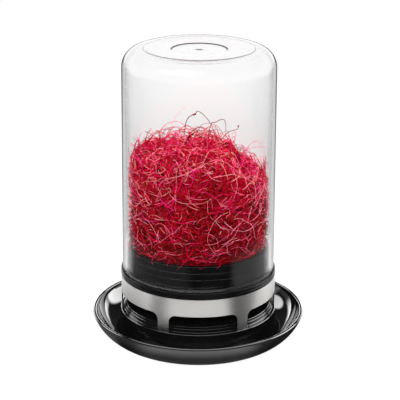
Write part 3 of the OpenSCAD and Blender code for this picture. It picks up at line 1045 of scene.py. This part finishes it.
dress(make_tray(), "tray", "tray_plastic", GLOSS, SATIN, replaces="drip_tray")
dress(make_collar(), "lid", "lid_plastic", GLOSS, RUBBER, WET, replaces="lid_collar")
dress(make_gasket(), "lid", "soft_black", RUBBER, replaces="rim_gasket")
dress(make_seal(), "lid", "soft_black", WET, replaces="plug_seal")
dress(make_hoop(), "sieve", "sieve_steel", WIRE, replaces="sieve_hoop")
dress(make_weave(), "sieve", "sieve_steel", WIRE, replaces="sieve_mesh")
dress(make_jar(), "jar", "glass", clear_glass(), replaces="glass_jar")
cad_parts["stand_band"].data.materials.clear()
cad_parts["stand_band"].data.materials.append(STEEL)

# The heap, piece by piece, in the order of its random draws. A piece of stems is given by its count,
# depth, lengths, widths, shades, bend, points, least inset and dent
STEMS = (2000, 3.4, (12, 38), (0.5, 0.85), (0.05, 0.7), 0.08, 11, 0.4, 5.5)
STEM_PIECES = {
    "sprout_stems_1": STEMS,
    "sprout_stems_2": STEMS,
    "sprout_stems_3": STEMS,
    "sprout_pinks": (620, 1.4, (8, 26), (0.4, 0.8), (0.58, 0.86), 0.09, 11),
    "sprout_roots": (380, 0.9, (6, 22), (0.22, 0.36), (0.92, 1.0), 0.1, 11),
    "sprout_hairs": (600, 0.7, (3, 9), (0.2, 0.3), (0.9, 1.0), 0.2, 7),
    "sprout_long_roots": (110, 0.5, (18, 44), (0.26, 0.4), (0.92, 1.0), 0.07, 17),
}
LOOPS = dict(count=520, spans=(8, 30), lifts=(1.0, 10.5), widths=(0.28, 0.5), shades=(0.0, 0.97), points=15)
draws = np.random.default_rng(SEED)
dress(make_core(), "sieve", "sprouts", heap_painted_shade(), replaces="sprouts")
for piece_name, settings in STEM_PIECES.items():
    dress(strands(piece_name, draws, *settings), "sieve", "sprouts", STEM_SKIN)
dress(loops("sprout_loops", draws, **LOOPS), "sieve", "sprouts", STEM_SKIN)
dress(make_drips(draws), "sieve", "sprouts", STEM_SKIN)
dress(make_strays(), "sieve", "sprouts", STEM_SKIN)

# Floor, world, lamps and camera. Each step is (start, end, value before, value after)
# Painted reflections on the floor that blurred gloss sees, by the way from the object (-1 is front or left)
# and the reach in metres
FLOOR_TILT = 0.2
FLOOR_FLARE = 0.12
STRIP_START = (-0.53, -0.45, 0.0, 1.05)
STRIP_FADE = (-0.35, 0.0, 1.0, 0.72)
STRIP_LEFT = (-0.6, -0.4, 1.0, 0.0)
BESIDE = (-0.35, 0.1, 0.05, 0.8)
BESIDE_REACH = (0.1, 0.13, 0.25, 1.0)
FAR = (0.55, 0.75, 0.0, 5.0)
FAR_REACH = (0.35, 0.6, 0.0, 1.0)
FRONT = (-0.84, -0.58, 1.0, 0.0)
FRONT_REACH = (0.09, 0.13, 2.6, 0.93)
GAP_SIDES = (-0.1, 0.1, 0.86, 0.3)
GAP_REACH = (0.11, 0.14, 0.15, 1.0)
RING_START = (0.066, 0.084, 0.05, 1.0)
RING_END = (0.175, 0.21, 1.0, 0.05)
# Painted reflections and sheens on the floor that glass mirrors
SHEEN_LEFT = (-0.35, -0.05, 0.12, 0.0)
SHEEN_RIGHT = (0.66, 0.8, 0.0, 0.3)
SHEEN_REACH = (0.22, 0.27, 1.0, 0.0)
DISTANT_REACH = (0.76, 1.15, 0.0, 1.1)
BACK = (0.3, 0.8, 0.02, 0.68)
BACK_END = (0.88, 0.97, 0.68, 0.02)
FLANK = (0.1, 0.6, 0.0, 0.9)
FLANK_END = (0.62, 0.85, 1.0, 0.3)
FLANK_REACH = (0.22, 0.28, 1.0, 0.0)
PATCH = (0.4, 0.6, 1.3, 0.0)
PATCH_REACH = (0.1, 0.14, 1.0, 0.0)
# Painted reflections of a room that only mirrors see, by the way's parts. Its soft spots, painted highlights
# of softboxes, are (azimuth, height, spread, strength)
HORIZON = (0.55, 0.75, 0.5, 10.0)
HORIZON_TOP = (0.16, 0.26, 1.0, 0.0)
OVERHEAD = (0.78, 0.9, 0.1, 7.0)
SOFT_SPOTS = ((107, 16, 24, 16.0), (100, 44, 20, 9.0), (-121, 32, 16, 12.0))
SPOT_CORE = 0.7
WINDOW = (0.2, 0.8, 0.0, 2.4)
WINDOW_SIDE = (-0.3, 0.7, 1.0, 0.0)
WINDOW_FRONT = (-0.2, 0.0, 1.0, 0.0)
ROOM = (-0.6, 0.3, 1.1, 1.36)
# White floor, with painted shade near the object where glass lets it through, and plain light
SHADE_THROUGH_GLASS_REACH = (0.33, 0.68, 0.8, 1.06)
CAMERA_WHITE = 1.05
FLOOR_HALF = 3.0
FLOOR_Z = -0.0002
FLOOR_COLOUR = (0.86, 0.86, 0.86, 1.0)
SHADOW_FADE = 0.9
WORLD_FILL = 0.22
LAMP_AIM = (0, 0, 0.1)


def ray_shares(n):
    """Shares of white and of mirrored rays: white are the camera's and those that only passed glass."""
    path = n.add("LightPath")
    mirrored = n.math("GREATER_THAN", path.outputs["Glossy Depth"], 0.5)
    scattered = n.math("GREATER_THAN", path.outputs["Diffuse Depth"], 0.5)
    turned = n.most(mirrored, scattered)
    passed = n.math("SUBTRACT", path.outputs["Is Transmission Ray"], turned, use_clamp=True)
    white = n.most(path.outputs["Is Camera Ray"], passed)
    return white, n.most(path.outputs["Is Glossy Ray"], mirrored)


def by_sharpness(n, gloss, sharp):
    """One look for blurred gloss and one for what glass mirrors or lets through."""
    singular = n.add("LightPath").outputs["Is Singular Ray"]
    rest = n.math("SUBTRACT", 1.0, singular)
    return n.math("ADD", n.times(rest, gloss), n.times(singular, sharp))


def floor_painted_reflections(n):
    """Painted reflections that the floor shows only to mirrors: for gloss it glows bright behind and as a
    painted pool of light near the foot, for glass it is mostly dark.
    """
    place = n.add("TexCoord").outputs["Object"]
    x, y, _ = n.axes(place)
    reach = n.length(place)
    straight = n.math("DIVIDE", y, reach)
    across = n.math("DIVIDE", x, reach)
    tilted = n.math("SUBTRACT", straight, n.times(across, FLOOR_TILT))
    turned = n.math("ADD", straight, n.times(n.math("ABSOLUTE", across, 0.0), FLOOR_FLARE))

    strip = n.times(n.step(straight, *STRIP_START), n.step(straight, *STRIP_FADE))
    lit = n.times(strip, n.step(across, *STRIP_LEFT))
    beside = n.times(n.most(lit, n.step(tilted, *BESIDE)), n.step(reach, *BESIDE_REACH))
    far = n.times(n.step(straight, *FAR), n.step(reach, *FAR_REACH))
    front = n.times(n.step(turned, *FRONT), n.step(reach, *FRONT_REACH))
    gaps = n.times(n.step(x, *GAP_SIDES), n.step(reach, *GAP_REACH))
    ring = n.times(n.step(reach, *RING_START), n.step(reach, *RING_END))
    gloss = n.most(beside, far, n.times(ring, n.most(front, gaps)))

    sides = n.math("ADD", n.step(across, *SHEEN_LEFT), n.step(across, *SHEEN_RIGHT))
    sheen = n.times(sides, n.step(reach, *SHEEN_REACH))
    side = n.most(sheen, n.step(reach, *DISTANT_REACH), n.step(straight, *BACK))
    edge = n.math("MINIMUM", side, n.step(straight, *BACK_END))
    near = n.times(n.step(straight, *FLANK), n.step(straight, *FLANK_END))
    flank = n.times(near, n.step(reach, *FLANK_REACH))
    patch = n.times(n.step(across, *PATCH), n.step(reach, *PATCH_REACH))
    return by_sharpness(n, gloss, n.most(edge, flank, patch))


def soft_spot(n, way, azimuth, height, spread, strength):
    """Painted highlight: bright patch of the room for mirrors, placed by its angle from the front and its
    angle above the floor.
    """
    a, h = math.radians(azimuth), math.radians(height)
    dot = n.add("VectorMath", operation="DOT_PRODUCT")
    n.link(way, dot.inputs[0])
    dot.inputs[1].default_value = (math.sin(a) * math.cos(h), -math.cos(a) * math.cos(h), math.sin(h))
    outer = math.cos(math.radians(spread))
    inner = math.cos(math.radians(spread * SPOT_CORE))
    return n.step(dot.outputs["Value"], outer, inner, 0.0, strength)


def world_painted_reflections(n):
    """Painted reflections of a room, for mirrors only: gloss sees bright patches as of lamps and a horizon,
    glass a pale room with a window.
    """
    way = n.add("TexCoord").outputs["Generated"]
    x, y, z = n.axes(way)
    horizon = n.times(n.step(y, *HORIZON), n.step(z, *HORIZON_TOP))
    spots = [soft_spot(n, way, *spot) for spot in SOFT_SPOTS]
    gloss = n.most(horizon, n.step(z, *OVERHEAD), *spots)
    window = n.times(n.step(z, *WINDOW), n.step(x, *WINDOW_SIDE))
    before = n.times(window, n.step(y, *WINDOW_FRONT))
    return by_sharpness(n, gloss, n.most(before, n.step(y, *ROOM)))


def by_ray(n, plain, mirror, white):
    """One shader of three: plain for lighting, painted reflections for mirrors and a white one."""
    white_share, mirror_share = ray_shares(n)
    shaded = n.blend(white_share, n.blend(mirror_share, plain, mirror), white)
    n.link(shaded.outputs[0], n.output.inputs["Surface"])


def floor_white(n):
    """Strength of the white floor: full for the camera, and through glass a little less near the object, as
    painted shade.
    """
    reach = n.length(n.add("TexCoord").outputs["Object"])
    shade_through_glass = n.step(reach, *SHADE_THROUGH_GLASS_REACH)
    direct = n.times(n.add("LightPath").outputs["Is Camera Ray"], CAMERA_WHITE)
    return n.most(shade_through_glass, direct)


def stage_floor():
    """Pale floor that keeps a faint shadow."""
    mesh = bpy.data.meshes.new("floor")
    ways = ((-1, -1), (1, -1), (1, 1), (-1, 1))
    mesh.from_pydata([(x * FLOOR_HALF, y * FLOOR_HALF, 0) for x, y in ways], [], [(0, 1, 2, 3)])
    floor = placed("floor", mesh)
    floor.location.z = FLOOR_Z
    n = Nodes("floor")
    n.set(base_color=FLOOR_COLOUR, roughness=0.9, specular_ior_level=0.0)
    # The floor's glow for mirrors only, painted reflections
    mirror = n.add("Emission")
    n.link(floor_painted_reflections(n), mirror.inputs["Strength"])
    white = n.add("Emission")
    n.link(floor_white(n), white.inputs["Strength"])
    by_ray(n, n.shader, mirror, n.blend(SHADOW_FADE, n.shader, white))
    mesh.materials.append(n.material)


class WorldNodes(Nodes):
    """The world's node tree, with the same short ways."""

    def __init__(self, name):
        world = bpy.data.worlds.new(name)
        bpy.context.scene.world = world
        world.use_nodes = True
        self.tree = world.node_tree
        self.tree.nodes.clear()
        self.output = self.add("OutputWorld")


def studio_world():
    """White for the camera and through glass, a room of painted reflections for mirrors, and a soft fill for
    the rest.
    """
    n = WorldNodes("studio")
    fill, mirror, white = (n.add("Background") for _ in range(3))
    fill.inputs["Strength"].default_value = WORLD_FILL
    white.inputs["Color"].default_value = WHITE
    n.link(world_painted_reflections(n), mirror.inputs["Strength"])
    by_ray(n, fill, mirror, white)


def softbox(name, place, width, height, power):
    """Rectangular lamp, turned towards the object, that only lights."""
    lamp = bpy.data.lights.new(name, "AREA")
    lamp.shape = "RECTANGLE"
    lamp.size = width
    lamp.size_y = height
    lamp.energy = power
    holder = placed(name, lamp)
    holder.location = place
    holder.rotation_euler = (Vector(LAMP_AIM) - Vector(place)).to_track_quat("-Z", "Y").to_euler()
    holder.visible_camera = False
    holder.visible_glossy = False
    holder.visible_transmission = False


def photo_camera():
    """Camera at the photograph's angle: far off, looking down a little, with a slight roll."""
    distance = 0.940
    tilt = math.radians(18.983)
    roll = math.radians(0.295)
    aim = Vector((0, 0, 0.09475))
    data = bpy.data.cameras.new("camera")
    data.sensor_width = 36.0
    data.lens = 127.29
    data.shift_x = 0.0037
    camera = placed("camera", data)
    back = Vector((0, -math.cos(tilt), math.sin(tilt)))
    turn = (-back).to_track_quat("-Z", "Y").to_matrix().to_4x4()
    camera.matrix_world = Matrix.Translation(aim + back * distance) @ turn @ Matrix.Rotation(roll, 4, "Z")
    bpy.context.scene.camera = camera


stage_floor()
studio_world()
softbox("left_softbox", place=(-0.75, 0.35, 0.4), width=0.4, height=0.75, power=9.0)
softbox("right_softbox", place=(0.8, 0.3, 0.4), width=0.3, height=0.75, power=9.0)
softbox("front_softbox", place=(-0.1, -0.95, 0.66), width=0.6, height=0.4, power=25.0)
softbox("top_softbox", place=(0.0, 0.2, 1.0), width=0.7, height=0.5, power=3.0)
photo_camera()
bpy.context.scene.view_settings.view_transform = "Standard"
